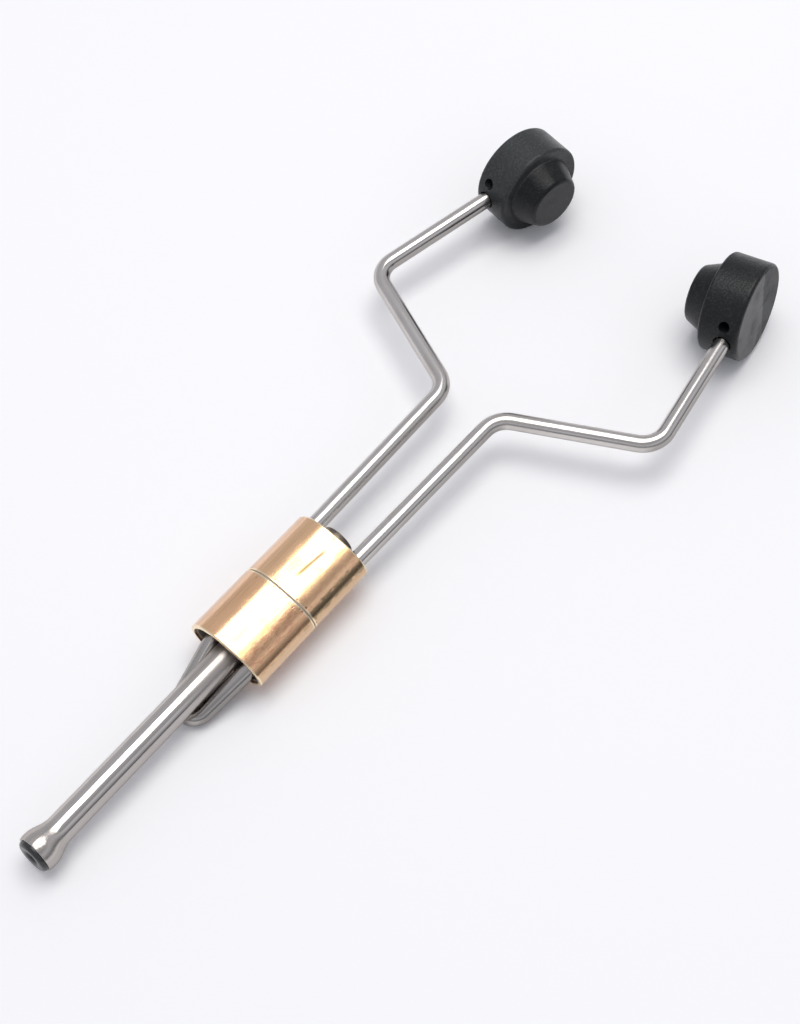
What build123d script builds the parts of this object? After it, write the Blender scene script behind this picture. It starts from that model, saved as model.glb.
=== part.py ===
from build123d import *
import os
from math import cos, radians, sin, sqrt, tan

# Thread bobbin holder, in millimetres.
# One bent spring wire makes the frame. A thread tube lies between its two legs,
# a pressed oval, brass-covered barrel holds wire and tube, and two black feet carry the spool.
# X runs along the tube from the mouth to the feet, Y across, Z up.
# The origin is on the tube's axis at the front face of the barrel.
# The arms are bent by hand, so left and right differ a little.

# ---- driving sizes: spring wire ----
wire_d = 2.0             # diameter of the wire
leg_gap = 0.45           # space between tube and leg at the barrel's front
leg_splay = 0.92         # how far each leg leans outward, degrees
loop_reach = 6.9         # centre of the front loop ahead of the barrel
loop_start = 2.65        # where the loop starts to dip, behind the barrel's front
loop_half = 1.45         # half the width of the loop, between centre-lines
loop_radius = 1.6        # corner radius of the loop
loop_gap = 0.13          # space between the tube and the loop under it
dip_radius = 4.0         # radius of the bend where the loop dips
shoulder_x = 41.55       # first bend of each arm, from the barrel's front
arm_radius = 3.2         # centre-line radius of the arm bends
left_run = 19.52         # left arm, first bend to second
left_angle = 65.8        # lean of that run from the tube's axis, degrees
left_end = 23.69         # left arm, second bend to the middle of the foot
left_toe = 11.7          # lean of the last run toward the middle, degrees
right_run = 18.69        # right arm, first bend to second
right_angle = 64.1       # lean of that run from the tube's axis, degrees
right_end = 22.52        # right arm, second bend to the middle of the foot
right_toe = 8.6          # lean of the last run toward the middle, degrees
right_roll = 6.0         # turn of the right foot about its wire, degrees
flex_inset = 0.47        # where the arms start to flex, inside the barrel's rear
flex_gap = 0.20          # gap that the flexing end leaves to the fixed leg

# ---- driving sizes: thread tube and mouth ring ----
tube_od = 3.14           # outside diameter of the tube
tube_wall = 0.44         # wall of the tube
mouth_reach = 28.00      # middle of the mouth ahead of the barrel
mouth_slant = 7.0        # lean of the mouth's face upward, degrees
tail_reach = 0.98        # end of the tube behind the barrel
bell_swell = 0.67        # how far the bell stands out past the tube
bell_length = 3.6        # length of the bell, to the middle of the mouth
bell_full = 0.70         # fullest place of the bell, behind the middle of the mouth
lip_radius = 3.0         # radius that the bell draws in by from there to its rim
lip_edge = 0.07          # rounding of the bell's rim
tail_swell = 0.38        # how far the flared tail stands out past the tube
tail_length = 1.5        # length of the flared tail
ring_wall = 0.27         # wall of the bell round the ring
ring_depth = 1.5         # how deep the ring sits in the mouth
ring_rise = 0.52         # how far the ring stands out of the mouth
ring_edge = 0.46         # rounding of the ring's outer edge
ring_hole_d = 0.95       # hole that the thread leaves by
ring_throat = 0.78       # rounding at the front of that hole

# ---- driving sizes: barrel ----
barrel_length = 17.27    # front face to rear face
seam_x = 8.69            # middle of the seam between the two sleeves
seam_gap = 0.16          # width of the seam
seam_depth = 0.12        # how far the liner's rib lies below the brass in the seam
seam_edge = 0.08         # rounding of the sleeves' outer edges at the seam
sleeve_wall = 0.42       # wall of the brass sleeves
sleeve_step = 0.04       # how much fuller the front sleeve is
sleeve_edge = 0.16       # rounding of the sleeves' outer edges at the barrel's ends
liner_wall = 0.27        # wall of the steel liner
liner_inset = 0.30       # liner ends inside the sleeves' faces
side_room = 0.10         # space beside the legs in the barrel's rear
head_room = 0.87         # space above and below the tube in the liner
crown_rise = 0.60        # how much fuller the barrel is pressed over the left leg
crown_turn = 60.0        # where that fullness is highest, degrees round from the left side
crown_span = 60.0        # how far it fades out on each side, degrees
fill_front = 3.6         # solder starts behind the barrel's front
fill_rear = 2.0          # solder ends ahead of the barrel's rear

# ---- driving sizes: feet ----
foot_d = 12.1            # diameter of the disc
foot_outer = 1.85        # wire's centre to the outer face
foot_inner = 3.25        # wire's centre to the inner face
boss_height = 2.95       # height of the spool boss on the inner face
boss_base_d = 9.3        # boss at the disc
boss_tip_d = 6.8         # boss at its tip
outer_edge = 0.45        # rounding of the outer rim
inner_edge = 0.35        # rounding of the inner rim
boss_edge = 0.55         # rounding of the boss's tip
wire_past_middle = 2.4   # how far the wire goes past the disc's middle
entry_relief = 0.14      # relief round the wire where it enters
entry_depth = 0.45       # depth of that relief
spare_hole_d = 1.36      # open hole above the wire
spare_web = 0.75         # web between the wire and the open hole
spare_depth = 4.2        # depth of the open hole

# ---- sizes that follow ----
up = Vector(0, 0, 1)
wire_r = wire_d / 2
tube_r = tube_od / 2
bore_r = tube_r - tube_wall
flex_x = barrel_length - flex_inset
splay = tan(radians(leg_splay))
bell_r = tube_r + bell_swell
tail_x = barrel_length + tail_reach
foot_r = foot_d / 2
spare_r = spare_hole_d / 2


def other_side(point):
    """The same point mirrored across the tube's axis."""
    return Vector(point.X, -point.Y, point.Z)


def leg_y(x):
    """Distance of a leg's centre-line from the tube's axis at x."""
    return tube_r + leg_gap + wire_r + x * splay


def heading(angle, side):
    """Level direction that leans from X by an angle, to the left (1) or right (-1)."""
    return Vector(cos(radians(angle)), side * sin(radians(angle)), 0)


# ---- half sizes of the oval barrel, from the inside out ----
liner_in_y = leg_y(barrel_length) + wire_r + side_room
liner_in_z = tube_r + head_room
sleeve_in_y = liner_in_y + liner_wall
sleeve_in_z = liner_in_z + liner_wall
barrel_y = sleeve_in_y + sleeve_wall
barrel_z = sleeve_in_z + sleeve_wall


def oval(half_y, half_z):
    """Face with the outline of the pressed barrel, which is fuller above the left leg."""
    points = []
    for turn in range(0, 360, 15):
        away = min(abs(turn - crown_turn), crown_span) / crown_span
        rise = crown_rise * cos(radians(90 * away)) ** 2
        points.append((half_y * cos(radians(turn)), half_z * sin(radians(turn)) + rise))
    return Face(Wire([Edge.make_spline(points, periodic=True)]))


# ---- centre-lines of the wire ----
leg_end = Vector(flex_x - flex_gap, leg_y(flex_x - flex_gap), 0)
dip = Vector(loop_start, leg_y(loop_start), 0)
corner = Vector(-loop_reach, loop_half, -(tube_r + loop_gap + wire_r))

flex = Vector(flex_x, leg_y(flex_x), 0)
shoulder = Vector(shoulder_x, leg_y(shoulder_x), 0)
left_into = heading(left_toe, -1)
left_elbow = shoulder + heading(left_angle, 1) * left_run
left_middle = left_elbow + left_into * left_end
left_tip = left_middle + left_into * wire_past_middle
right_into = heading(right_toe, 1)
right_elbow = other_side(shoulder) + heading(right_angle, -1) * right_run
right_middle = right_elbow + right_into * right_end
right_tip = right_middle + right_into * wire_past_middle

# ---- fixed part of the wire: front loop and the legs in the barrel ----
loop_route = [leg_end, dip, corner]
loop_route += [other_side(point) for point in reversed(loop_route)]
with BuildPart() as wire_loop:
    with BuildLine() as loop_line:
        FilletPolyline(*loop_route, radius=[dip_radius, loop_radius, loop_radius, dip_radius])
    with BuildSketch(Plane(origin=loop_line.line @ 0, z_dir=loop_line.line % 0)):
        Circle(wire_r)
    sweep(path=loop_line.line)

# ---- arms of the wire, from the barrel's rear into the feet ----
with BuildPart() as left_arm_wire:
    with BuildLine() as left_line:
        FilletPolyline(flex, shoulder, left_elbow, left_tip, radius=[arm_radius, arm_radius])
    with BuildSketch(Plane(origin=left_line.line @ 0, z_dir=left_line.line % 0)):
        Circle(wire_r)
    sweep(path=left_line.line)

right_start = [other_side(flex), other_side(shoulder)]
with BuildPart() as right_arm_wire:
    with BuildLine() as right_line:
        FilletPolyline(*right_start, right_elbow, right_tip, radius=[arm_radius, arm_radius])
    with BuildSketch(Plane(origin=right_line.line @ 0, z_dir=right_line.line % 0)):
        Circle(wire_r)
    sweep(path=right_line.line)

# ---- plane of the mouth: its Z points out of the mouth and a little up ----
lean = radians(mouth_slant)
mouth = Plane(origin=(-mouth_reach, 0, 0), x_dir=(0, 1, 0), z_dir=(-cos(lean), 0, sin(lean)))
nose_x = -mouth_reach - 2 * bell_r * tan(lean) - ring_rise
seat_x = ring_depth - mouth_reach
seat_r = bell_r - ring_wall
nose_r = bell_r - lip_radius + sqrt(lip_radius**2 - (bell_full - mouth_reach - nose_x) ** 2)

# ---- thread tube: turned about X, its bell cut along the mouth's plane ----
bell_x = bell_length - mouth_reach
full_x = bell_full - mouth_reach
waist_x = (bell_x + full_x) / 2
flare_x = tail_x - tail_length
with BuildPart() as nozzle_tube:
    with BuildSketch(Plane.XZ):
        with BuildLine():
            Polyline((flare_x, tube_r), (bell_x, tube_r))
            Spline(
                (bell_x, tube_r),
                (waist_x, tube_r + bell_swell / 2),
                (full_x, bell_r),
                tangents=[(-1, 0), (-1, 0)],
            )
            TangentArc((full_x, bell_r), (nose_x, nose_r), tangent=(-1, 0))
            Polyline((nose_x, nose_r), (nose_x, 0), (tail_x, 0), (tail_x, tube_r + tail_swell))
            Spline((tail_x, tube_r + tail_swell), (flare_x, tube_r), tangents=[(-1, -0.9), (-1, 0)])
        make_face()
    revolve(axis=Axis.X)
    split(bisect_by=mouth, keep=Keep.BOTTOM)
    fillet(nozzle_tube.faces().sort_by(Axis.X)[0].outer_wire().edges(), lip_edge)
    with BuildSketch(Plane.XZ):
        with BuildLine():
            Polyline((flare_x, bore_r), (nose_x, bore_r), (nose_x, 0), (tail_x, 0))
            Polyline((tail_x, 0), (tail_x, bore_r + tail_swell))
            Spline((tail_x, bore_r + tail_swell), (flare_x, bore_r), tangents=[(-1, -0.9), (-1, 0)])
        make_face()
    revolve(axis=Axis.X, mode=Mode.SUBTRACT)
    with BuildSketch(Plane.YZ.offset(seat_x)):
        Circle(seat_r)
    extrude(amount=nose_x - seat_x, mode=Mode.SUBTRACT)

# ---- hard ring that the thread runs over, seated in the mouth ----
with BuildPart() as mouth_ring:
    with BuildSketch(Plane.YZ.offset(seat_x)):
        Circle(seat_r)
    extrude(amount=nose_x - seat_x - ring_rise)
    split(bisect_by=mouth.offset(ring_rise), keep=Keep.BOTTOM)
    ring_face = mouth_ring.faces().sort_by(Axis.X)[0]
    fillet(ring_face.outer_wire().edges(), ring_edge)
    with BuildSketch(Plane.YZ.offset(seat_x)):
        Circle(ring_hole_d / 2)
    extrude(amount=nose_x - seat_x - ring_rise, mode=Mode.SUBTRACT)
    ring_face = mouth_ring.faces().filter_by(GeomType.PLANE).sort_by(Axis.X)[0]
    fillet(ring_face.inner_wires().edges(), ring_throat)


# ---- brass sleeves over the liner, with a narrow seam between them ----
def rim_edges(sleeve, end):
    """Outer edges of a sleeve's first (0) or last (-1) end face along X."""
    return sleeve.faces().filter_by(Axis.X).sort_by(Axis.X)[end].outer_wire().edges()


with BuildPart() as front_sleeve:
    with BuildSketch(Plane.YZ):
        add(oval(barrel_y + sleeve_step, barrel_z + sleeve_step))
        add(oval(sleeve_in_y, sleeve_in_z), mode=Mode.SUBTRACT)
    extrude(amount=seam_x - seam_gap / 2)
    fillet(rim_edges(front_sleeve, 0), sleeve_edge)
    fillet(rim_edges(front_sleeve, -1), seam_edge)

with BuildPart() as rear_sleeve:
    with BuildSketch(Plane.YZ.offset(barrel_length)):
        add(oval(barrel_y, barrel_z))
        add(oval(sleeve_in_y, sleeve_in_z), mode=Mode.SUBTRACT)
    extrude(amount=seam_x + seam_gap / 2 - barrel_length)
    fillet(rim_edges(rear_sleeve, -1), sleeve_edge)
    fillet(rim_edges(rear_sleeve, 0), seam_edge)

# ---- steel liner that the sleeves sit on, with a rib that fills their seam ----
with BuildPart() as liner:
    with BuildSketch(Plane.YZ.offset(liner_inset)):
        add(oval(sleeve_in_y, sleeve_in_z))
        add(oval(liner_in_y, liner_in_z), mode=Mode.SUBTRACT)
    extrude(amount=barrel_length - 2 * liner_inset)
    with BuildSketch(Plane.YZ.offset(seam_x - seam_gap / 2)):
        add(oval(barrel_y - seam_depth, barrel_z - seam_depth))
        add(oval(liner_in_y, liner_in_z), mode=Mode.SUBTRACT)
    extrude(amount=seam_gap)

# ---- solder that holds the tube and the two legs in the liner ----
with BuildPart() as solder_fill:
    with BuildSketch(Plane.YZ.offset(fill_front)):
        add(oval(liner_in_y, liner_in_z))
        Circle(tube_r, mode=Mode.SUBTRACT)
    extrude(amount=barrel_length - fill_rear - fill_front)
    add(wire_loop.part, mode=Mode.SUBTRACT)

# ---- shape of a foot, with its wire along X and its outer face toward Y ----
disc = Plane(origin=(0, 0, 0), x_dir=(1, 0, 0), z_dir=(0, 1, 0))
spare_z = wire_r + spare_web + spare_r
spare_rim_x = -((foot_r**2 - spare_z**2) ** 0.5)
with BuildPart() as foot:
    with BuildSketch(disc.offset(-foot_inner)):
        Circle(foot_r)
    extrude(amount=foot_inner + foot_outer)
    fillet(foot.edges().sort_by(Axis.Y)[-1], outer_edge)
    fillet(foot.edges().sort_by(Axis.Y)[0], inner_edge)
    with BuildSketch(disc.offset(-foot_inner)):
        Circle(boss_base_d / 2)
    with BuildSketch(disc.offset(-foot_inner - boss_height)):
        Circle(boss_tip_d / 2)
    loft()
    fillet(foot.edges().sort_by(Axis.Y)[0], boss_edge)
    with BuildSketch(Plane.YZ.offset(wire_past_middle)):
        Circle(wire_r)
    extrude(amount=-wire_past_middle - foot_d, mode=Mode.SUBTRACT)
    with BuildSketch(Plane.YZ.offset(entry_depth - foot_r)):
        Circle(wire_r + entry_relief)
    extrude(amount=-foot_r, mode=Mode.SUBTRACT)
    with BuildSketch(Plane(origin=(spare_rim_x + spare_depth, 0, spare_z), z_dir=(-1, 0, 0))):
        Circle(spare_r)
    extrude(amount=foot_d, mode=Mode.SUBTRACT)

# ---- the two feet on the ends of the wire ----
right_out = right_into.cross(up)
right_up = up * cos(radians(right_roll)) - right_out * sin(radians(right_roll))
with BuildPart(Plane(origin=left_middle, x_dir=left_into, z_dir=up)) as left_foot:
    add(foot.part)

with BuildPart(Plane(origin=right_middle, x_dir=right_into, z_dir=right_up)) as right_foot:
    add(foot.part.mirror(Plane.XZ))

# ---- write one file for each piece ----
pieces = {
    "nozzle_tube": nozzle_tube,
    "mouth_ring": mouth_ring,
    "front_sleeve": front_sleeve,
    "rear_sleeve": rear_sleeve,
    "liner": liner,
    "solder_fill": solder_fill,
    "wire_loop": wire_loop,
    "left_arm_wire": left_arm_wire,
    "right_arm_wire": right_arm_wire,
    "left_foot": left_foot,
    "right_foot": right_foot,
}
os.makedirs("parts", exist_ok=True)
for name, piece in pieces.items():
    piece.part.label = name
    export_step(piece.part, f"parts/{name}.step")
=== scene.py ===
"""Looks, studio and camera of a thread bobbin holder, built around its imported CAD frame.

Lengths are in metres, in the CAD frame: X along the thread tube toward the feet,
Y across to the left arm, Z up, origin on the tube's axis at the barrel's front face.
"""
from __future__ import annotations

import logging
import math
from dataclasses import dataclass
from enum import Enum

import bpy
from bpy.types import Material, Node, NodeSocket, NodeTree, Object
from mathutils import Matrix, Vector

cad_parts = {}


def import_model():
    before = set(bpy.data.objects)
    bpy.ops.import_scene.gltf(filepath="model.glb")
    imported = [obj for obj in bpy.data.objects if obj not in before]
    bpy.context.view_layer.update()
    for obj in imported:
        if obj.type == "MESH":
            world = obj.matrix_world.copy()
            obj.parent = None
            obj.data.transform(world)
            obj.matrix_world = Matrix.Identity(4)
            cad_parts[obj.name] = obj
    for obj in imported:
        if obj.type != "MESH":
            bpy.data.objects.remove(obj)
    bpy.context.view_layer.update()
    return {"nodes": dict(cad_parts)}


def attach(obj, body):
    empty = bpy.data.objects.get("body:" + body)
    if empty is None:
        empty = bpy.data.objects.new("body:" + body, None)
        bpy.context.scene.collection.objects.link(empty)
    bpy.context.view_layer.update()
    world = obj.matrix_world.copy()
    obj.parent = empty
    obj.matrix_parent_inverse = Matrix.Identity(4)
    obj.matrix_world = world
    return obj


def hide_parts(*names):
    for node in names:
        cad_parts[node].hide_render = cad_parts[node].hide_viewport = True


LOG = logging.getLogger("bobbin_holder")
MM = 0.001

Colour = tuple[float, float, float]
Point = tuple[float, float, float]
Range = tuple[float, float]
Nodes = dict[str, Object]
Feed = NodeSocket | float | int | str | tuple


class Body(Enum):
    """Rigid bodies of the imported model."""

    HOLDER = "holder"
    LEFT_ARM = "left_arm"
    RIGHT_ARM = "right_arm"


class Slot(Enum):
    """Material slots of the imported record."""

    WIRE = "steel_wire"


class Stored(Enum):
    """Attributes of the wire: its bends, its place when laid out straight and its facing."""

    BEND = "bend"
    STRAIGHT = "straight"
    FACING = "facing"


# ------------------------------ node graphs
class Graph:
    """A node tree with short calls to add, set and link its nodes."""

    def __init__(self, tree: NodeTree) -> None:
        """Wrap the shader or geometry tree to build in."""
        self.tree = tree

    def add(self, kind: str, **settings: object) -> Node:
        """Add a node.

        Args:
            kind: the node's type name.
            settings: properties to set on it.

        Returns:
            The new node.
        """
        node = self.tree.nodes.new(kind)
        for key, value in settings.items():
            setattr(node, key, value)
        return node

    def feed(self, socket: NodeSocket, value: Feed) -> None:
        """Link a socket to another, or set it to a constant.

        Args:
            socket: the input to feed.
            value: an output socket or a constant.
        """
        if isinstance(value, NodeSocket):
            self.tree.links.new(value, socket)
        else:
            socket.default_value = value

    def wire(self, node: Node, **inputs: Feed) -> Node:
        """Feed several inputs of a node by name.

        Args:
            node: the node to feed.
            inputs: values by input name, with underscores for spaces.

        Returns:
            The same node.
        """
        for key, value in inputs.items():
            self.feed(node.inputs[key.replace("_", " ")], value)
        return node

    def math(self, operation: str, first: Feed, second: Feed = 0.0) -> NodeSocket:
        """Add a Math node.

        Args:
            operation: the node's operation.
            first: its first input.
            second: its second input, where it has one.

        Returns:
            Its output.
        """
        node = self.add("ShaderNodeMath", operation=operation)
        self.feed(node.inputs[0], first)
        self.feed(node.inputs[1], second)
        return node.outputs[0]

    def vector(self, operation: str, first: Feed, second: Feed = (0.0, 0.0, 0.0)) -> Node:
        """Add a Vector Math node.

        Args:
            operation: the node's operation.
            first: its first vector.
            second: its second vector, where it has one.

        Returns:
            The node.
        """
        node = self.add("ShaderNodeVectorMath", operation=operation)
        self.feed(node.inputs[0], first)
        self.feed(node.inputs[1], second)
        return node

    def times(self, first: Feed, second: Feed) -> NodeSocket:
        """Multiply two values."""
        return self.math("MULTIPLY", first, second)

    def plus(self, first: Feed, second: Feed) -> NodeSocket:
        """Add two values."""
        return self.math("ADD", first, second)

    def minus(self, first: Feed, second: Feed) -> NodeSocket:
        """Subtract the second value from the first."""
        return self.math("SUBTRACT", first, second)

    def rest(self, share: Feed) -> NodeSocket:
        """Take what a share leaves of 1."""
        return self.minus(1.0, share)

    def between(self, value: Feed, low: float, high: float) -> NodeSocket:
        """Ramp a value smoothly from 0 at low to 1 at high.

        Args:
            value: the value to ramp.
            low: where the ramp is 0.
            high: where the ramp is 1.

        Returns:
            The ramped value.
        """
        node = self.add("ShaderNodeMapRange", interpolation_type="SMOOTHSTEP")
        self.wire(node, Value=value, From_Min=low, From_Max=high)
        return node.outputs["Result"]

    def within(self, value: Feed, rise: Range, fall: Range) -> NodeSocket:
        """Ramp a value up over the range rise, and down again over the range fall."""
        return self.times(self.between(value, *rise), self.rest(self.between(value, *fall)))

    def spread(self, value: Feed, low: float, high: float) -> NodeSocket:
        """Map a value that runs from 0 to 1 onto low to high.

        Args:
            value: the value to map.
            low: the result at 0.
            high: the result at 1.

        Returns:
            The mapped value.
        """
        node = self.add("ShaderNodeMapRange", clamp=False)
        self.wire(node, Value=value, To_Min=low, To_Max=high)
        return node.outputs["Result"]

    def blend(self, factor: Feed, first: Feed, second: Feed) -> NodeSocket:
        """Mix two colours, each given as an output or as a constant.

        Args:
            factor: share of the second colour.
            first: the first colour.
            second: the second colour.

        Returns:
            The mixed colour.
        """
        node = self.add("ShaderNodeMix", data_type="RGBA")
        self.feed(node.inputs[0], factor)
        for place, colour in ((6, first), (7, second)):
            self.feed(node.inputs[place], rgba(colour) if isinstance(colour, tuple) else colour)
        return node.outputs[2]

    def noise(self, vector: Feed, scale: float, detail: float = 3.0,
              roughness: float = 0.5) -> NodeSocket:
        """Add a Noise Texture.

        Args:
            vector: where it is read.
            scale: how many cells it has per metre.
            detail: its octaves.
            roughness: how strong the fine octaves are.

        Returns:
            Its value, from 0 to 1.
        """
        node = self.add("ShaderNodeTexNoise")
        self.wire(node, Vector=vector, Scale=scale, Detail=detail, Roughness=roughness)
        return node.outputs["Fac"]

    def stretch(self, vector: Feed, factors: Point) -> NodeSocket:
        """Scale a vector by one factor for each axis."""
        return self.vector("MULTIPLY", vector, factors).outputs[0]

    def split(self, vector: Feed) -> tuple[NodeSocket, ...]:
        """Take a vector apart into its X, Y and Z."""
        node = self.wire(self.add("ShaderNodeSeparateXYZ"), Vector=vector)
        return tuple(node.outputs)


def rgba(colour: Colour) -> tuple[float, float, float, float]:
    """Add full alpha to a colour."""
    return (*colour, 1.0)


def add_object(name: str, data: bpy.types.ID) -> Object:
    """Put a new object in the scene.

    Args:
        name: its name.
        data: its mesh, light or camera.

    Returns:
        The object.
    """
    piece = bpy.data.objects.new(name, data)
    bpy.context.scene.collection.objects.link(piece)
    return piece


# ------------------------------ shared effects
class Effects:
    """Shader node groups that several finishes share, each built once.

    A ramp or an edge gives the values between which a mask fades in.
    """

    BROAD_SHARE: float = 0.22
    LINE_RAMP: Range = (0.42, 0.64)
    SMUDGE_RAMP: Range = (0.88, 1.22)
    NICK_WARP: float = 0.7
    NICK_REACH: float = 0.30
    NICK_EDGE: Range = (-0.03, 0.03)

    def __init__(self) -> None:
        """Build every group."""
        self.drawn_lines = self._drawn_lines()
        self.smudges = self._smudges()
        self.nicks = self._nicks()

    @staticmethod
    def _start(name: str, inputs: tuple[str, ...],
               outputs: tuple[str, ...]) -> tuple[Graph, Node, Node]:
        """Open a group with a Vector input and float sockets.

        Args:
            name: the group's name.
            inputs: its float inputs.
            outputs: its float outputs.

        Returns:
            The group's graph, its input node and its output node.
        """
        tree = bpy.data.node_groups.new(name, "ShaderNodeTree")
        tree.interface.new_socket("Vector", in_out="INPUT", socket_type="NodeSocketVector")
        for side, names in (("INPUT", inputs), ("OUTPUT", outputs)):
            for key in names:
                tree.interface.new_socket(key, in_out=side, socket_type="NodeSocketFloat")
        graph = Graph(tree)
        return graph, graph.add("NodeGroupInput"), graph.add("NodeGroupOutput")

    def _drawn_lines(self) -> NodeTree:
        """Fine lines along X, as drawing and polishing leave them.

        Returns:
            A group with Mask and Height outputs.
        """
        graph, start, end = self._start("drawn_lines", ("Lines", "Run"), ("Mask", "Height"))
        along, across, up = graph.split(start.outputs["Vector"])
        flat = graph.wire(graph.add("ShaderNodeCombineXYZ"), Y=across, Z=up,
                          X=graph.times(along, start.outputs["Run"])).outputs[0]
        scale = start.outputs["Lines"]
        fine = graph.noise(flat, scale, detail=2.0, roughness=0.6)
        broad = graph.noise(flat, graph.times(scale, self.BROAD_SHARE), detail=1.0)
        height = graph.times(graph.plus(fine, broad), 0.5)
        graph.wire(end, Height=height, Mask=graph.between(height, *self.LINE_RAMP))
        return graph.tree

    def _smudges(self) -> NodeTree:
        """Cloudy patches left by handling.

        Returns:
            A group with a Mask output.
        """
        graph, start, end = self._start("smudges", ("Size", "Cover"), ("Mask",))
        scale = graph.math("DIVIDE", 1.0, start.outputs["Size"])
        node = graph.add("ShaderNodeTexNoise")
        graph.wire(node, Vector=start.outputs["Vector"], Scale=scale, Detail=4.0,
                   Roughness=0.55, Distortion=0.6)
        shifted = graph.plus(node.outputs["Fac"], start.outputs["Cover"])
        graph.wire(end, Mask=graph.between(shifted, *self.SMUDGE_RAMP))
        return graph.tree

    def _nicks(self) -> NodeTree:
        """Sparse short marks of random size.

        Returns:
            A group with a Mask output.
        """
        graph, start, end = self._start("nicks", ("Size", "Count"), ("Mask",))
        scale = graph.math("DIVIDE", 1.0, start.outputs["Size"])
        bent = graph.add("ShaderNodeTexNoise")
        graph.wire(bent, Vector=start.outputs["Vector"], Scale=scale, Detail=2.0)
        push = graph.vector("SCALE", bent.outputs["Color"])
        graph.wire(push, Scale=graph.times(start.outputs["Size"], self.NICK_WARP))
        place = graph.vector("ADD", start.outputs["Vector"], push.outputs[0])
        cells = graph.add("ShaderNodeTexVoronoi", feature="F1")
        graph.wire(cells, Vector=place.outputs[0], Scale=scale, Randomness=1.0)
        chance = graph.wire(graph.add("ShaderNodeSeparateColor"), Color=cells.outputs["Color"])
        limit = graph.times(chance.outputs["Red"], self.NICK_REACH)
        reach = graph.times(limit, start.outputs["Count"])
        inside = graph.minus(reach, cells.outputs["Distance"])
        graph.wire(end, Mask=graph.between(inside, *self.NICK_EDGE))
        return graph.tree


# ------------------------------ finishes
class Coat(Graph):
    """A material in the making: its shader, where it is read and its normal so far."""

    def __init__(self, name: str, straight: bool = False) -> None:
        """Start a material with its Principled shader.

        Args:
            name: the material's name.
            straight: whether it lies on the wire, and its patterns run along that.
        """
        self.material = bpy.data.materials.new(name)
        self.material.use_nodes = True
        super().__init__(self.material.node_tree)
        self.shader = self.tree.nodes["Principled BSDF"]
        self.normal: NodeSocket | None = None
        if straight:
            self.place = self.read(Stored.STRAIGHT)
        else:
            self.place = self.add("ShaderNodeTexCoord").outputs["Object"]
        self.along, self.across, self.up = self.split(self.place)

    def read(self, name: Stored) -> NodeSocket:
        """Read a vector that the wire's sweep has stored."""
        return self.add("ShaderNodeAttribute", attribute_name=name.value).outputs["Vector"]

    def effect(self, tree: NodeTree, **values: float) -> Node:
        """Place the node group of a shared effect, with its inputs by name."""
        node = self.add("ShaderNodeGroup", node_tree=tree)
        return self.wire(node, Vector=self.place, **values)

    def mask(self, tree: NodeTree, **values: float) -> NodeSocket:
        """Place a shared effect and take its mask."""
        return self.effect(tree, **values).outputs["Mask"]

    def cloud(self, size: float, detail: float = 2.0, roughness: float = 0.5,
              run: float = 1.0) -> NodeSocket:
        """Add a noise of a size in metres, whose cells a run below 1 makes longer along X."""
        place = self.place if run == 1.0 else self.stretch(self.place, (run, 1.0, 1.0))
        return self.noise(place, 1.0 / size, detail, roughness)

    def shaded_low_side(self, vector: Feed, toward: Range, below: Range) -> NodeSocket:
        """Find the side that faces -Y and down, which the finishes darken as painted shade.

        Args:
            vector: a place or a direction to read.
            toward: how far it leans to -Y where the mask starts and is full.
            below: its Z where the mask is full and ends.

        Returns:
            The mask.
        """
        _, across, up = self.split(vector)
        lean = self.between(self.times(across, -1.0), *toward)
        return self.times(lean, self.rest(self.between(up, *below)))

    def bump(self, height: Feed, depth: float, strength: float = 1.0) -> None:
        """Lay a relief over the normal so far.

        Args:
            height: the relief, from 0 to 1.
            depth: how deep a height of 1 is, in metres.
            strength: the share of the relief that is used.
        """
        node = self.wire(self.add("ShaderNodeBump"), Height=height, Distance=depth,
                         Strength=strength)
        if self.normal is not None:
            self.feed(node.inputs["Normal"], self.normal)
        self.normal = node.outputs["Normal"]

    def close(self, colour: Feed, roughness: Feed, metal: bool = False) -> None:
        """Feed the shader its colour, its roughness, the normal and whether it is metal."""
        self.wire(self.shader, Base_Color=colour, Roughness=roughness, Normal=self.normal,
                  Metallic=float(metal))


@dataclass(frozen=True)
class Finish:
    """What every finish shares: a name, its effects and whether it lies on the wire."""

    name: str
    effects: Effects
    straight: bool = False

    def build(self) -> Material:
        """Build the material.

        Returns:
            The finished material.
        """
        coat = Coat(self.name, self.straight)
        self.paint(coat)
        return coat.material

    def paint(self, coat: Coat) -> None:
        """Lay the finish on the material so far."""
        raise NotImplementedError


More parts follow.
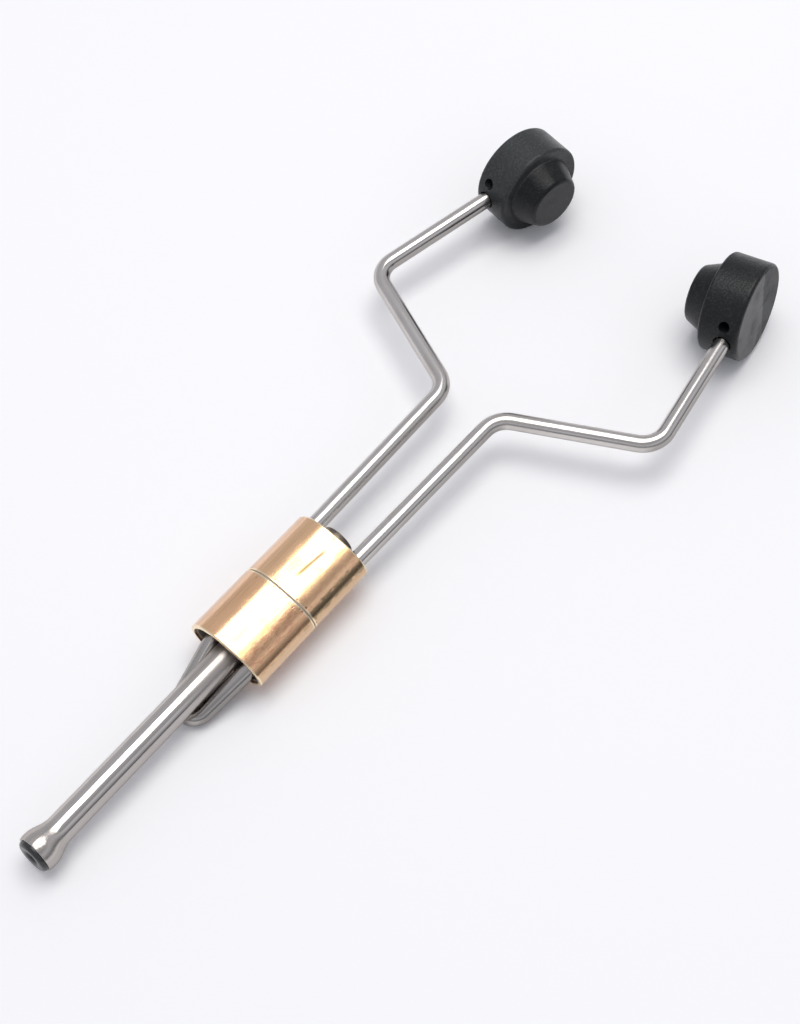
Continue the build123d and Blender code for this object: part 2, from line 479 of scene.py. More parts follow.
@dataclass(frozen=True)
class PolishedSteel(Finish):
    """Bright stainless steel with fine lines along it and faint handling marks.

    The side that faces -Y and down is darker: painted shade. The bell of the tube, and its
    end at the barrel, are darker and rougher.
    """

    colour: Colour = (0.628, 0.590, 0.562)
    dull: Colour = (0.500, 0.462, 0.432)
    # under_shade is painted shade on the low side that faces -Y and down
    under_shade: Colour = (0.435, 0.408, 0.390)
    darker_end_colour: Colour = (0.440, 0.405, 0.375)
    edge: Colour = (0.66, 0.64, 0.63)
    roughness: Range = (0.10, 0.20)
    mark_share: float = 0.45
    darker_end_share: float = 0.85
    under_shade_share: float = 0.8
    line_wear: float = 0.6
    hand_wear: float = 0.4
    darker_end_wear: float = 2.4
    low_place: tuple[Range, Range] = ((0.85 * MM, 1.30 * MM), (0.84 * MM, 1.02 * MM))
    low_facing: tuple[Range, Range] = ((0.55, 0.85), (0.48, 0.64))
    darker_end_fade: Range = (-9.5 * MM, -1.0 * MM)
    bell_fade: Range = (-25.6 * MM, -24.0 * MM)
    bell_share: float = 0.5
    line_depth: float = 0.0016 * MM
    wave_size: float = 2.5 * MM
    wave_run: float = 0.16
    wave_depth: float = 0.003 * MM

    def paint(self, coat: Coat) -> None:
        """Lay the steel on a material.

        Args:
            coat: the material so far.
        """
        lines = coat.effect(self.effects.drawn_lines, Lines=7000.0, Run=0.02)
        hands = coat.mask(self.effects.smudges, Size=5.0 * MM, Cover=0.42)
        nicks = coat.mask(self.effects.nicks, Size=1.6 * MM, Count=0.30)
        low, darker_end = self.darker_zones(coat)
        marked = coat.times(coat.math("MAXIMUM", hands, nicks), self.mark_share)
        colour = coat.blend(marked, self.colour, self.dull)
        # the bell and the end at the barrel are darker and rougher
        colour = coat.blend(coat.times(darker_end, self.darker_end_share), colour, self.darker_end_colour)
        # painted shade: the low side that faces -Y and down is darker
        colour = coat.blend(coat.times(low, self.under_shade_share), colour, self.under_shade)
        worn = coat.plus(coat.times(hands, self.hand_wear), coat.times(darker_end, self.darker_end_wear))
        worn = coat.plus(coat.times(lines.outputs["Mask"], self.line_wear), worn)
        coat.bump(coat.cloud(self.wave_size, run=self.wave_run), self.wave_depth)
        coat.bump(lines.outputs["Height"], self.line_depth)
        coat.wire(coat.shader, Specular_Tint=rgba(self.edge))
        coat.close(colour, coat.spread(worn, *self.roughness), metal=True)

    def darker_zones(self, coat: Coat) -> tuple[Feed, Feed]:
        """Find where the steel is darker.

        Args:
            coat: the material so far.

        Returns:
            Masks of the low side's painted shade, and of the bell and the end at the barrel,
            which no wire has.
        """
        if self.straight:
            return coat.shaded_low_side(coat.read(Stored.FACING), *self.low_facing), 0.0
        bell = coat.times(coat.rest(coat.between(coat.along, *self.bell_fade)), self.bell_share)
        darker_end = coat.math("MAXIMUM", coat.between(coat.along, *self.darker_end_fade), bell)
        return coat.shaded_low_side(coat.place, *self.low_place), darker_end


@dataclass(frozen=True)
class Streak:
    """A faint dark streak on top of a sleeve, given by the X and Y of its two ends."""

    start: Range
    end: Range
    width: Range = (0.15 * MM, 0.44 * MM)
    ragged: float = 0.22 * MM
    head: Range = (-0.3 * MM, 0.8 * MM)
    tail: float = 1.2 * MM
    top: Range = (0.0, 0.5 * MM)
    strength: float = 0.95

    def mask(self, coat: Coat, fine: Feed) -> NodeSocket:
        """Draw the streak.

        Args:
            coat: the material so far.
            fine: a fine noise that breaks the streak up.

        Returns:
            The mask.
        """
        (start_x, start_y), (end_x, end_y) = self.start, self.end
        slope = (end_y - start_y) / (end_x - start_x)
        line = coat.times(coat.minus(coat.along, start_x), slope)
        off = coat.math("ABSOLUTE", coat.minus(coat.minus(coat.across, start_y), line))
        ragged = coat.plus(off, coat.times(fine, self.ragged))
        thin = coat.rest(coat.between(ragged, *self.width))
        length = coat.within(coat.along, (start_x + self.head[0], start_x + self.head[1]),
                             (end_x - self.tail, end_x))
        part = coat.times(length, coat.between(coat.up, *self.top))
        return coat.times(coat.times(thin, part), self.strength)


@dataclass(frozen=True, kw_only=True)
class PolishedBrass(Finish):
    """Light polished brass: brushed along, with stains and pits at the seam, and painted light:
    a dark band on its -Y side is a painted reflection of the room's dark horizon, its rims
    have painted highlights and its low side has painted shade.

    Sides, bands and crowns are given by the Y or Z over which their colour fades.
    """

    ends: Range
    seam_x: float
    streak: Streak | None = None
    colour: Colour = (1.00, 0.62, 0.365)
    straw: Colour = (1.00, 0.70, 0.190)
    rosy: Colour = (0.80, 0.40, 0.25)
    pale: Colour = (0.81, 0.560, 0.405)
    # under_shade is painted shade on the low side of the sleeve
    under_shade: Colour = (0.72, 0.510, 0.335)
    # rim_highlight is a painted highlight on the rounded ends of the sleeve
    rim_highlight: Colour = (1.00, 0.84, 0.58)
    # dark_reflection is a painted reflection of the room's dark horizon on the -Y side
    dark_reflection: Colour = (0.33, 0.245, 0.150)
    pit: Colour = (0.40, 0.24, 0.13)
    # colour of the dark streak along the top of the rear sleeve
    rubbed: Colour = (0.185, 0.132, 0.080)
    brushed: Colour = (0.80, 0.78, 0.74)
    roughness: Range = (0.14, 0.30)
    straw_share: float = 0.85
    mottled: float = 0.7
    dark_reflection_share: float = 0.38
    brush_share: float = 0.65
    rim_highlight_share: float = 0.8
    line_wear: float = 0.5
    stain_wear: float = 0.4
    crown_up: Range = (2.0 * MM, 2.9 * MM)
    crown_in: Range = (-3.0 * MM, -2.2 * MM)
    crown_out: Range = (0.4 * MM, 1.3 * MM)
    right_side: Range = (1.6 * MM, 3.0 * MM)
    left_side: Range = (2.4 * MM, 4.2 * MM)
    low_place: tuple[Range, Range] = ((3.4 * MM, 4.2 * MM), (0.85 * MM, 1.15 * MM))
    dark_reflection_in: Range = (0.80 * MM, 1.02 * MM)
    dark_reflection_out: Range = (1.52 * MM, 1.86 * MM)
    dark_reflection_ragged: float = 0.9 * MM
    rim_fade: Range = (0.24 * MM, 0.13 * MM)
    speck: Range = (0.42, 0.66)
    wave_size: float = 1.5 * MM
    wave_run: float = 0.30
    wave_depth: float = 0.022 * MM
    grain_size: float = 0.13 * MM
    grain_depth: float = 0.0024 * MM
    line_depth: float = 0.0020 * MM
    pit_depth: float = 0.02 * MM
    pit_relief: float = 0.6
    pit_reach: Range = (0.275 * MM, 1.1 * MM)

    def paint(self, coat: Coat) -> None:
        """Lay the brass on a material.

        Args:
            coat: the material so far.
        """
        lines = coat.effect(self.effects.drawn_lines, Lines=5200.0, Run=0.05)
        stains = coat.mask(self.effects.smudges, Size=2.6 * MM, Cover=0.50)
        pits = self.pits(coat)
        colour = self.tone(coat, stains)
        brush = coat.times(lines.outputs["Mask"], self.brush_share)
        colour = coat.blend(brush, colour, coat.stretch(colour, self.brushed))
        # painted highlight on the rounded ends
        colour = coat.blend(self.rim_highlights(coat), colour, self.rim_highlight)
        colour = coat.blend(pits, colour, self.pit)
        worn = coat.plus(coat.times(lines.outputs["Mask"], self.line_wear),
                         coat.times(stains, self.stain_wear))
        coat.bump(coat.cloud(self.wave_size, run=self.wave_run), self.wave_depth)
        coat.bump(coat.cloud(self.grain_size), self.grain_depth)
        coat.bump(lines.outputs["Height"], self.line_depth)
        coat.bump(coat.rest(pits), self.pit_depth, self.pit_relief)
        coat.close(colour, coat.spread(worn, *self.roughness), metal=True)

    def pits(self, coat: Coat) -> NodeSocket:
        """Scatter small pits close to the seam.

        Args:
            coat: the material so far.

        Returns:
            The mask of the pits.
        """
        nicks = coat.mask(self.effects.nicks, Size=0.55 * MM, Count=0.9)
        away = coat.math("ABSOLUTE", coat.minus(coat.along, self.seam_x))
        return coat.times(nicks, coat.rest(coat.between(away, *self.pit_reach)))

    def tone(self, coat: Coat, stains: Feed) -> NodeSocket:
        """Mix the brass's colours round the sleeve.

        Args:
            coat: the material so far.
            stains: the mask of the stains.

        Returns:
            The colour.
        """
        fine = coat.cloud(size=0.34 * MM, detail=3.0, roughness=0.62, run=0.45)
        crown = coat.times(coat.between(coat.up, *self.crown_up),
                           coat.within(coat.across, self.crown_in, self.crown_out))
        crown = coat.times(crown, coat.times(stains, self.straw_share))
        colour = coat.blend(crown, self.colour, self.straw)
        right = coat.between(coat.times(coat.across, -1.0), *self.right_side)
        speck = coat.times(coat.between(fine, *self.speck), self.mottled)
        colour = coat.blend(coat.times(speck, right), colour, self.rosy)
        colour = coat.blend(coat.between(coat.across, *self.left_side), colour, self.pale)
        # painted shade: the low -Y side of the sleeve is darker
        colour = coat.blend(coat.shaded_low_side(coat.place, *self.low_place), colour, self.under_shade)
        # painted reflection: a ragged dark band at a fixed height on the -Y side
        ragged = coat.plus(coat.up, coat.times(coat.minus(fine, 0.5), self.dark_reflection_ragged))
        reflected_band = coat.times(coat.within(ragged, self.dark_reflection_in, self.dark_reflection_out), right)
        colour = coat.blend(coat.times(reflected_band, self.dark_reflection_share), colour, self.dark_reflection)
        if self.streak is not None:
            colour = coat.blend(self.streak.mask(coat, fine), colour, self.rubbed)
        return colour

    def rim_highlights(self, coat: Coat) -> NodeSocket:
        """Find the rounding at both ends of the sleeve, where a brighter highlight is painted.

        Args:
            coat: the material so far.

        Returns:
            The mask.
        """
        start, end = self.ends
        half = 0.5 * (end - start)
        reach = coat.math("ABSOLUTE", coat.minus(coat.along, 0.5 * (start + end)))
        edge = coat.between(reach, half - self.rim_fade[0], half - self.rim_fade[1])
        return coat.times(edge, self.rim_highlight_share)


@dataclass(frozen=True, kw_only=True)
class BlackPlastic(Finish):
    """Moulded black plastic with a fine grain, scuffs, a few pale marks and a painted sheen on
    the top of its rim.

    The outer face lies face_from out along face_out. It is smoother, and its sheen is
    dimmer from sheen_to on along X, a painted reflection of the floor's shade.
    """

    face_out: Point
    face_from: float
    face_edge: float = 0.08 * MM
    face_grain: float = 0.3
    face_shine: Range = (0.25, 0.06)
    colour: Colour = (0.0055, 0.0065, 0.0075)
    scuffed: Colour = (0.024, 0.026, 0.028)
    mark: Colour = (0.060, 0.062, 0.066)
    # top_sheen is a painted sheen, lighter towards the top of the disc's rim
    top_sheen: Colour = (0.058, 0.062, 0.064)
    roughness: Range = (0.29, 0.46)
    shine: float = 0.27
    top_sheen_share: float = 0.15
    mark_share: float = 0.5
    least_scuffed: float = 0.45
    least_top_sheen: float = 0.62
    speck: Range = (0.46, 0.68)
    grain_size: float = 0.26 * MM
    grain_depth: float = 0.026 * MM
    dent_size: float = 1.1 * MM
    dent_depth: float = 0.016 * MM
    rim_width: float = 5.1 * MM
    rim_fade: Range = (0.25 * MM, 0.05 * MM)
    rim_top: Range = (-1.0 * MM, 5.5 * MM)
    sheen_to: float = 73.3 * MM
    sheen_edge: float = 0.25 * MM
    sheen_size: float = 2.5 * MM
    sheen_wander: float = 1.2 * MM

    def paint(self, coat: Coat) -> None:
        """Lay the plastic on a material.

        Args:
            coat: the material so far.
        """
        rubbed = coat.mask(self.effects.smudges, Size=3.2 * MM, Cover=0.46)
        marks = coat.mask(self.effects.nicks, Size=1.4 * MM, Count=0.22)
        grain = coat.cloud(self.grain_size, roughness=0.6)
        speck = coat.between(grain, *self.speck)
        face, dim, rim_highlight = self.zones(coat)
        worn = coat.times(coat.spread(rubbed, self.least_scuffed, 1.0), speck)
        colour = coat.blend(worn, self.colour, self.scuffed)
        colour = coat.blend(coat.times(marks, self.mark_share), colour, self.mark)
        # painted sheen: the top of the disc's rim is lighter, broken up by the grain
        top_sheen = coat.times(rim_highlight, self.top_sheen_share)
        top_sheen = coat.times(top_sheen, coat.spread(speck, self.least_top_sheen, 1.0))
        colour = coat.blend(top_sheen, colour, self.top_sheen)
        coat.bump(coat.cloud(self.dent_size), self.dent_depth)
        coat.bump(coat.times(grain, coat.spread(face, 1.0, self.face_grain)), self.grain_depth)
        # the dimmer sheen past sheen_to is a painted reflection of the floor's shade
        bright, dimmer = self.face_shine
        level = coat.plus(coat.spread(face, self.shine, bright), coat.times(dim, dimmer - bright))
        coat.wire(coat.shader, Specular_IOR_Level=level)
        coat.close(colour, coat.spread(rubbed, *self.roughness))

    def zones(self, coat: Coat) -> tuple[NodeSocket, ...]:
        """Find the outer face, its dimmer zone and the top of the disc's rim, where a sheen is
        painted.

        Args:
            coat: the material so far.

        Returns:
            The three masks.
        """
        out = coat.vector("DOT_PRODUCT", coat.place, self.face_out).outputs["Value"]
        face = coat.between(out, self.face_from - self.face_edge, self.face_from)
        wander = coat.minus(coat.cloud(self.sheen_size), 0.5)
        along = coat.plus(coat.along, coat.times(wander, self.sheen_wander))
        past = coat.between(along, self.sheen_to - self.sheen_edge,
                            self.sheen_to + self.sheen_edge)
        inner = self.face_from - self.rim_width
        disc = coat.between(out, inner - self.rim_fade[0], inner - self.rim_fade[1])
        rim_highlight = coat.times(disc, coat.between(coat.up, *self.rim_top))
        return face, coat.times(face, past), rim_highlight


@dataclass(frozen=True)
class DarkCeramic(Finish):
    """Smooth dark grey ceramic with a faint speckle."""

    colour: Colour = (0.026, 0.027, 0.028)
    fleck: Colour = (0.060, 0.060, 0.062)
    roughness: Range = (0.16, 0.32)
    speck: Range = (0.58, 0.74)
    speck_size: float = 0.12 * MM
    speck_depth: float = 0.002 * MM

    def paint(self, coat: Coat) -> None:
        """Lay the ceramic on a material.

        Args:
            coat: the material so far.
        """
        hands = coat.mask(self.effects.smudges, Size=1.6 * MM, Cover=0.5)
        speck = coat.between(coat.cloud(self.speck_size), *self.speck)
        coat.bump(speck, self.speck_depth)
        coat.close(coat.blend(speck, self.colour, self.fleck),
                   coat.spread(hands, *self.roughness))


@dataclass(frozen=True)
class DullSolder(Finish):
    """Grey solder with a lumpy, oxidised face."""

    colour: Colour = (0.34, 0.335, 0.325)
    oxide: Colour = (0.12, 0.115, 0.11)
    roughness: Range = (0.34, 0.62)
    lump_size: float = 0.7 * MM
    lump_depth: float = 0.10 * MM

    def paint(self, coat: Coat) -> None:
        """Lay the solder on a material.

        Args:
            coat: the material so far.
        """
        patch = coat.mask(self.effects.smudges, Size=1.1 * MM, Cover=0.55)
        coat.bump(coat.cloud(self.lump_size, detail=3.0), self.lump_depth)
        coat.close(coat.blend(patch, self.colour, self.oxide),
                   coat.spread(patch, *self.roughness), metal=True)


# ------------------------------ sub-assemblies
def dress(nodes: Nodes, name: str, finish: Finish) -> None:
    """Put a finish on a CAD node, whose shape stays as it is.

    Args:
        nodes: CAD objects by node name.
        name: the node's name.
        finish: its finish.
    """
    piece = nodes[name]
    material = finish.build()
    if not piece.material_slots:
        piece.data.materials.append(material)
    for slot in piece.material_slots:
        slot.material = material
    LOG.info("dressed %s with %s", name, finish.name)


@dataclass
class ThreadTube:
    """The steel tube with its belled mouth, and the hard ring in the mouth."""

    effects: Effects

    def dress(self, nodes: Nodes) -> None:
        """Dress the tube and its ring, given the CAD objects by node name."""
        dress(nodes, "nozzle_tube", PolishedSteel("polished_steel", self.effects))
        dress(nodes, "mouth_ring", DarkCeramic("dark_ceramic", self.effects))


@dataclass
class Barrel:
    """The steel liner, the two brass sleeves over it and the solder inside."""

    effects: Effects
    length: float = 17.27 * MM
    seam_x: float = 8.69 * MM
    seam_gap: float = 0.16 * MM
    liner_roughness: Range = (0.22, 0.38)
    rear_colour: Colour = (1.0, 0.645, 0.385)
    # the rear sleeve's painted dark reflection is stronger
    rear_dark_reflection: float = 0.95
    rear_mottled: float = 0.35
    rear_streak: Streak = Streak((10.73 * MM, -0.82 * MM), (15.75 * MM, -1.25 * MM))

    def dress(self, nodes: Nodes) -> None:
        """Dress the liner, both sleeves and the solder.

        Args:
            nodes: CAD objects by node name.
        """
        half = 0.5 * self.seam_gap
        front = PolishedBrass("front_brass", self.effects, seam_x=self.seam_x,
                              ends=(0.0, self.seam_x - half))
        rear = PolishedBrass("rear_brass", self.effects, seam_x=self.seam_x,
                             ends=(self.seam_x + half, self.length), streak=self.rear_streak,
                             colour=self.rear_colour, dark_reflection_share=self.rear_dark_reflection,
                             mottled=self.rear_mottled)
        dress(nodes, "liner", PolishedSteel("liner_steel", self.effects,
                                            roughness=self.liner_roughness))
        dress(nodes, "front_sleeve", front)
        dress(nodes, "rear_sleeve", rear)
        dress(nodes, "solder_fill", DullSolder("dull_solder", self.effects))


@dataclass
class Feet:
    """The two black feet: discs with a smooth outer face and a boss for the spool."""

    effects: Effects
    left_out: Point = (0.20279, 0.97922, 0.0)
    left_face: float = 32.924 * MM
    left_shine: Range = (0.16, 0.16)
    # the left foot's rim top takes most of the painted sheen
    left_top_sheen: float = 0.9
    right_out: Point = (0.14872, -0.98334, 0.10453)
    right_face: float = 29.382 * MM
    right_grain: float = 0.040 * MM

    def dress(self, nodes: Nodes) -> None:
        """Dress both feet.

        Args:
            nodes: CAD objects by node name.
        """
        dress(nodes, "left_foot",
              BlackPlastic("left_plastic", self.effects, face_out=self.left_out,
                           face_from=self.left_face, top_sheen_share=self.left_top_sheen,
                           face_shine=self.left_shine))
        dress(nodes, "right_foot",
              BlackPlastic("right_plastic", self.effects, face_out=self.right_out,
                           face_from=self.right_face, grain_depth=self.right_grain))


@dataclass
class WireRun:
    """One stretch of the bent wire: straight runs joined by round bends, in millimetres."""

    name: str
    node: str
    body: Body
    points: tuple[Point, ...]
    bends: tuple[float, ...]
    finish: Finish

    def path(self) -> Object:
        """Make the run's corner points as a chain of edges.

        Returns:
            An object whose mesh has one vertex for each corner.
        """
        mesh = bpy.data.meshes.new(self.name)
        corners = [Vector(point) * MM for point in self.points]
        mesh.from_pydata(corners, [(i, i + 1) for i in range(len(corners) - 1)], [])
        radii = mesh.attributes.new(Stored.BEND.value, "FLOAT", "POINT")
        radii.data.foreach_set("value", [radius * MM for radius in (0.0, *self.bends, 0.0)])
        return add_object(self.name, mesh)


@dataclass
class SpringWire:
    """The bent stainless wire: front loop, legs and both arms.

    Its corner points and the radii of its bends are in millimetres.
    """

    finish: Finish
    loop_finish: Finish
    diameter: float = 2.0 * MM
    bend_steps: int = 22
    sides: int = 56
    loop_bends: tuple[float, ...] = (4.0, 1.6, 1.6, 4.0)
    arm_bends: tuple[float, ...] = (3.2, 3.2)
    leg_points: tuple[Point, ...] = (
        (16.6, 3.28657, 0.0), (2.65, 3.06256, 0.0), (-6.9, 1.45, -2.70))
    flex: Point = (16.8, 3.28978, 0.0)
    shoulder: Point = (41.55, 3.68723, 0.0)
    left_points: tuple[Point, ...] = ((49.55159, 21.49165, 0.0), (75.09961, 16.20108, 0.0))
    right_points: tuple[Point, ...] = ((49.71383, -20.50001, 0.0), (74.35363, -16.77364, 0.0))

    def tree(self) -> NodeTree:
        """Build the Geometry Nodes tree that bends and sweeps the wire.

        Returns:
            The tree, with named inputs for its sizes and its material.
        """
        tree = bpy.data.node_groups.new("bent_wire", "GeometryNodeTree")
        for name, kind in (("Path", "Geometry"), ("Diameter", "Float"), ("Bend Steps", "Int"),
                           ("Sides", "Int"), ("Finish", "Material")):
            tree.interface.new_socket(name, in_out="INPUT", socket_type=f"NodeSocket{kind}")
        tree.interface.new_socket("Wire", in_out="OUTPUT", socket_type="NodeSocketGeometry")
        graph = Graph(tree)
        start, end = graph.add("NodeGroupInput"), graph.add("NodeGroupOutput")
        radius = graph.times(start.outputs["Diameter"], 0.5)
        line = graph.wire(graph.add("GeometryNodeMeshToCurve"), Mesh=start.outputs["Path"])
        bend = graph.add("GeometryNodeInputNamedAttribute", data_type="FLOAT")
        graph.wire(bend, Name=Stored.BEND.value)
        arcs = graph.add("GeometryNodeFilletCurve", mode="POLY")
        graph.wire(arcs, Curve=line.outputs["Curve"], Count=start.outputs["Bend Steps"],
                   Radius=bend.outputs["Attribute"], Limit_Radius=True)
        ring = graph.add("GeometryNodeCurvePrimitiveCircle", mode="RADIUS")
        graph.wire(ring, Resolution=start.outputs["Sides"], Radius=radius)
        path, length = self._capture(graph, arcs.outputs["Curve"], "Length")
        profile, share = self._capture(graph, ring.outputs["Curve"], "Factor")
        sweep = graph.wire(graph.add("GeometryNodeCurveToMesh"), Curve=path,
                           Profile_Curve=profile, Fill_Caps=True)
        turn = graph.times(share, 2.0 * math.pi)
        straight = graph.wire(graph.add("ShaderNodeCombineXYZ"), X=length,
                              Y=graph.times(graph.math("COSINE", turn), radius),
                              Z=graph.times(graph.math("SINE", turn), radius))
        normal = graph.add("GeometryNodeInputNormal")
        mesh = self._store(graph, sweep.outputs["Mesh"], Stored.STRAIGHT, straight.outputs[0])
        mesh = self._store(graph, mesh, Stored.FACING, normal.outputs["Normal"])
        for kind in ("GeometryNodeSetShadeSmooth", "GeometryNodeRealizeInstances"):
            mesh = graph.wire(graph.add(kind), Geometry=mesh).outputs["Geometry"]
        coat = graph.wire(graph.add("GeometryNodeSetMaterial"), Geometry=mesh,
                          Material=start.outputs["Finish"])
        graph.wire(end, Wire=coat.outputs["Geometry"])
        return tree

    @staticmethod
    def _store(graph: Graph, mesh: NodeSocket, name: Stored, value: NodeSocket) -> NodeSocket:
        """Store a vector on each point of the wire, for its material to read.

        Args:
            graph: the tree's graph.
            mesh: the swept wire.
            name: the attribute that takes the vector.
            value: the vector.

        Returns:
            The wire with the attribute.
        """
        node = graph.add("GeometryNodeStoreNamedAttribute", data_type="FLOAT_VECTOR",
                         domain="POINT")
        graph.wire(node, Geometry=mesh, Name=name.value, Value=value)
        return node.outputs["Geometry"]

    @staticmethod
    def _capture(graph: Graph, curve: NodeSocket, measure: str) -> tuple[NodeSocket, ...]:
        """Remember how far along a curve each of its points is.

        Args:
            graph: the tree's graph.
            curve: the curve to measure.
            measure: Length or Factor.

        Returns:
            The curve and the measured value.
        """
        node = graph.add("GeometryNodeCaptureAttribute", domain="POINT")
        node.capture_items.new("FLOAT", measure)
        graph.feed(node.inputs[0], curve)
        position = graph.add("GeometryNodeSplineParameter")
        graph.feed(node.inputs[1], position.outputs[measure])
        return node.outputs[0], node.outputs[1]

    def runs(self) -> tuple[WireRun, ...]:
        """List the three runs of the wire.

        Returns:
            The front loop and the two arms.
        """
        loop = (*self.leg_points, *((x, -y, z) for x, y, z in reversed(self.leg_points)))
        left = (self.flex, self.shoulder, *self.left_points)
        mirrored = tuple((x, -y, z) for x, y, z in (self.flex, self.shoulder))
        right = (*mirrored, *self.right_points)
        return (
            WireRun("front_loop", "wire_loop", Body.HOLDER, loop, self.loop_bends,
                    self.loop_finish),
            WireRun("left_spring_arm", "left_arm_wire", Body.LEFT_ARM, left, self.arm_bends,
                    self.finish),
            WireRun("right_spring_arm", "right_arm_wire", Body.RIGHT_ARM, right, self.arm_bends,
                    self.finish),
        )

    def build(self) -> None:
        """Sweep each run, and let it stand for its CAD node."""
        tree = self.tree()
        coats = {finish.name: finish.build() for finish in (self.finish, self.loop_finish)}
        sockets = {item.name: item.identifier for item in tree.interface.items_tree
                   if item.in_out == "INPUT"}
        for run in self.runs():
            piece = run.path()
            modifier = piece.modifiers.new("bent_wire", "NODES")
            modifier.node_group = tree
            modifier[sockets["Diameter"]] = self.diameter
            modifier[sockets["Bend Steps"]] = self.bend_steps
            modifier[sockets["Sides"]] = self.sides
            modifier[sockets["Finish"]] = coats[run.finish.name]
            bpy.context.view_layer.update()
            graph = bpy.context.evaluated_depsgraph_get()
            mesh = bpy.data.meshes.new_from_object(piece.evaluated_get(graph))
            piece.modifiers.clear()
            piece.data = mesh
            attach(piece, run.body.value)
            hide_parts(run.node)
            LOG.info("swept %s, %d faces", run.name, len(mesh.polygons))


# ------------------------------ studio
@dataclass
class Studio:
    """Pale floor, one softbox, an even room and the photograph's camera."""

    floor_normal: Point = (0.03158851, -0.00956959, 0.99945515)
    floor_offset: float = -3.9156060 * MM
    floor_radius: float = 3.0
    floor_turns: int = 96
    floor_rings: tuple[Range, ...] = (
        (0.12, 0.0), (0.5, 0.0), (0.8, 0.0), (0.93, 0.12), (1.0, 1.0))
    rim_height: float = 0.20
    floor_colour: Colour = (0.90, 0.90, 0.915)
    seen_colour: Colour = (0.985, 0.985, 1.0)
    far_left: Colour = (0.92, 0.92, 0.94)
    far_right: Colour = (0.58, 0.58, 0.60)
    far_fade: Range = (0.25, 0.75)
    far_split: Range = (-0.5, 0.5)
    fibre_scale: float = 900.0
    fibre_tone: float = 0.985
    paper_roughness: float = 0.85
    paper_shine: float = 0.2
    box_size: Range = (0.37, 0.48)
    box_place: Point = (0.145, 0.022, 0.60)
    box_turn: float = -25.0
    box_radiance: float = 3.68
    box_colour: Colour = (1.0, 0.982, 0.950)
    room_level: float = 0.74
    room_tint: Colour = (0.972, 0.988, 1.055)
    room_split: Range = (-0.25, 0.25)
    right_levels: tuple[Range, ...] = (
        (0.0, 0.17), (0.07, 0.17), (0.11, 0.26), (0.16, 0.46), (0.28, 0.74), (0.36, 0.92),
        (0.43, 0.92), (0.51, 0.58), (0.58, 0.50), (0.68, 0.62), (1.0, 0.72))
    left_levels: tuple[Range, ...] = (
        (0.0, 0.88), (0.10, 0.82), (0.22, 0.78), (0.36, 0.70), (0.50, 0.76), (0.62, 0.80),
        (1.0, 0.72))
    camera_place: Point = (-0.03749341, -0.06798186, 0.15064167)
    camera_right: Point = (0.6440412, -0.76258, -0.06068476)
    camera_up: Point = (0.67660156, 0.53081583, 0.51033802)
    image_height: int = 1024
    focal_pixels: float = 1574.6
    sensor: float = 36.0
    clip: Range = (0.005, 20.0)

    def floor(self) -> Object:
        """Make a wide floor that the feet and the front loop rest on.

        Returns:
            The floor's object.
        """
        turns = self.floor_turns
        up = Vector(self.floor_normal)
        tilt = up.to_track_quat("Z", "Y").to_matrix().to_4x4()
        centre = Matrix.Translation(up * self.floor_offset)
        points, faces = [], [list(range(turns))]
        for share, lift in self.floor_rings:
            for turn in range(turns):
                angle = 2.0 * math.pi * turn / turns
                reach = share * self.floor_radius
                points.append(Vector((reach * math.cos(angle), reach * math.sin(angle),
                                      lift * self.rim_height)))
        for ring in range(len(self.floor_rings) - 1):
            for turn in range(turns):
                after = (turn + 1) % turns
                low, high = ring * turns, (ring + 1) * turns
                faces.append([high + turn, high + after, low + after, low + turn])
        mesh = bpy.data.meshes.new("floor")
        mesh.from_pydata([centre @ tilt @ point for point in points], [], faces)
        mesh.polygons.foreach_set("use_smooth", [True] * len(mesh.polygons))
        mesh.materials.append(self.paper())
        return add_object("floor", mesh)

    def paper(self) -> Material:
        """Build the floor's pale paper, which glows evenly far from the object.

        Returns:
            The floor's material.
        """
        coat = Coat("pale_paper")
        tone = tuple(channel * self.fibre_tone for channel in self.floor_colour)
        plain = coat.blend(coat.noise(coat.place, self.fibre_scale), self.floor_colour, tone)
        path = coat.add("ShaderNodeLightPath")
        seen = coat.math("MAXIMUM", path.outputs["Is Camera Ray"], path.outputs["Is Glossy Ray"])
        seen = coat.math("MAXIMUM", seen, path.outputs["Is Transmission Ray"])
        coat.wire(coat.shader, Base_Color=coat.blend(seen, plain, self.seen_colour),
                  Roughness=self.paper_roughness, Specular_IOR_Level=self.paper_shine)
        away = coat.vector("LENGTH", coat.place).outputs["Value"]
        far = coat.between(away, *self.far_fade)
        side = coat.between(coat.across, *self.far_split)
        glow = coat.wire(coat.add("ShaderNodeEmission"), Strength=1.0,
                         Color=coat.blend(side, self.far_right, self.far_left))
        mixed = coat.add("ShaderNodeMixShader")
        feeds = (coat.times(far, seen), coat.shader.outputs["BSDF"], glow.outputs[0])
        for socket, value in zip(mixed.inputs, feeds):
            coat.feed(socket, value)
        coat.wire(coat.tree.nodes["Material Output"], Surface=mixed.outputs[0])
        return coat.material

    def room(self) -> None:
        """Light the scene evenly, with the soft bands that a real room gives to metal."""
        world = bpy.data.worlds.new("room")
        world.use_nodes = True
        bpy.context.scene.world = world
        graph = Graph(world.node_tree)
        _, across, up = graph.split(graph.add("ShaderNodeTexCoord").outputs["Generated"])
        height = graph.times(graph.math("ARCSINE", up), 2.0 / math.pi)
        right = self._bands(graph, height, self.right_levels)
        left = self._bands(graph, height, self.left_levels)
        side = graph.between(across, *self.room_split)
        back = world.node_tree.nodes["Background"]
        graph.wire(back, Color=graph.blend(side, right, left), Strength=self.room_level)

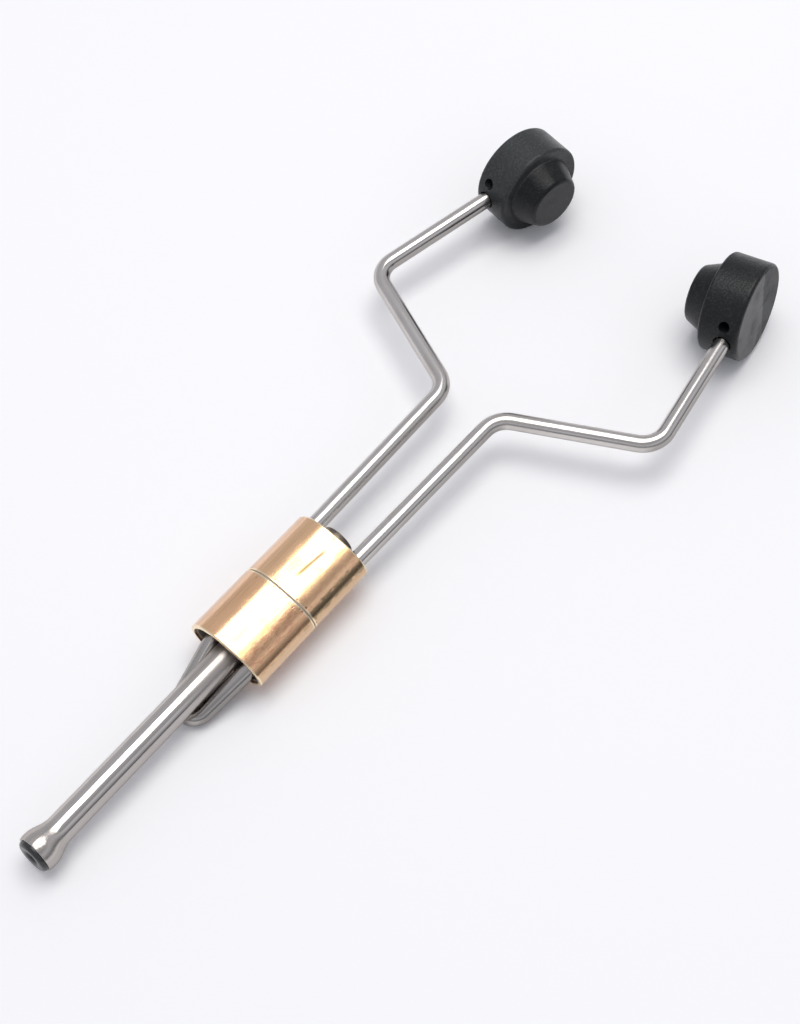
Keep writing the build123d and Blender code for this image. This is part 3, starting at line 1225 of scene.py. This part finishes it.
    def _bands(self, graph: Graph, height: Feed, levels: tuple[Range, ...]) -> NodeSocket:
        """Colour one side of the room in bands of slightly cool grey.

        Args:
            graph: the world's graph.
            height: how high a direction looks, from 0 at the horizon to 1 overhead.
            levels: height and level of each band.

        Returns:
            The colour.
        """
        node = graph.wire(graph.add("ShaderNodeValToRGB"), Fac=height)
        stops = node.color_ramp.elements
        while len(stops) < len(levels):
            stops.new(0.5)
        for stop, (position, level) in zip(stops, levels):
            stop.position = position
            stop.color = rgba(tuple(level * tint for tint in self.room_tint))
        return node.outputs["Color"]

    def softbox(self) -> None:
        """Hang one softbox above the object, a little toward the left arm."""
        lamp = bpy.data.lights.new("softbox", "AREA")
        lamp.shape = "RECTANGLE"
        lamp.size, lamp.size_y = self.box_size
        lamp.energy = self.box_radiance * math.pi * lamp.size * lamp.size_y
        lamp.color = self.box_colour
        place = Vector(self.box_place)
        turn = (-place).to_track_quat("-Z", "Y").to_matrix().to_4x4()
        turn = turn @ Matrix.Rotation(math.radians(self.box_turn), 4, "Z")
        add_object("softbox", lamp).matrix_world = Matrix.Translation(place) @ turn

    def camera(self) -> None:
        """Set the camera where the photograph was taken from."""
        lens = bpy.data.cameras.new("camera")
        lens.sensor_fit = "VERTICAL"
        lens.sensor_height = self.sensor
        lens.lens = self.focal_pixels / self.image_height * self.sensor
        lens.clip_start, lens.clip_end = self.clip
        right, up = Vector(self.camera_right), Vector(self.camera_up)
        back = right.cross(up)
        turn = Matrix((right, up, back)).transposed().to_4x4()
        piece = add_object("camera", lens)
        piece.matrix_world = Matrix.Translation(Vector(self.camera_place)) @ turn
        bpy.context.scene.camera = piece

    def build(self) -> None:
        """Build the floor, the lights and the camera."""
        bpy.context.scene.view_settings.view_transform = "Standard"
        self.floor()
        self.room()
        self.softbox()
        self.camera()
        LOG.info("studio is set")


def main() -> None:
    """Load the frame, dress it, and set the studio around it."""
    logging.basicConfig(level=logging.INFO, format="%(message)s")
    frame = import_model()
    effects = Effects()
    # The wire's under_shade colour is painted shade on its low side.
    wire = PolishedSteel("drawn_wire", effects, straight=True,
                         colour=(0.635, 0.605, 0.582), under_shade=(0.335, 0.315, 0.300),
                         roughness=(0.18, 0.32))
    # The front loop takes a darker copy of the wire's steel: painted shade.
    loop = PolishedSteel("shaded_loop_wire", effects, straight=True,
                         colour=(0.480, 0.456, 0.436), dull=(0.340, 0.315, 0.295),
                         under_shade=(0.260, 0.245, 0.235), roughness=(0.14, 0.26))
    SpringWire(wire, loop).build()
    for part in (ThreadTube(effects), Barrel(effects), Feet(effects)):
        part.dress(frame["nodes"])
    Studio().build()


if __name__ == "__main__":
    main()
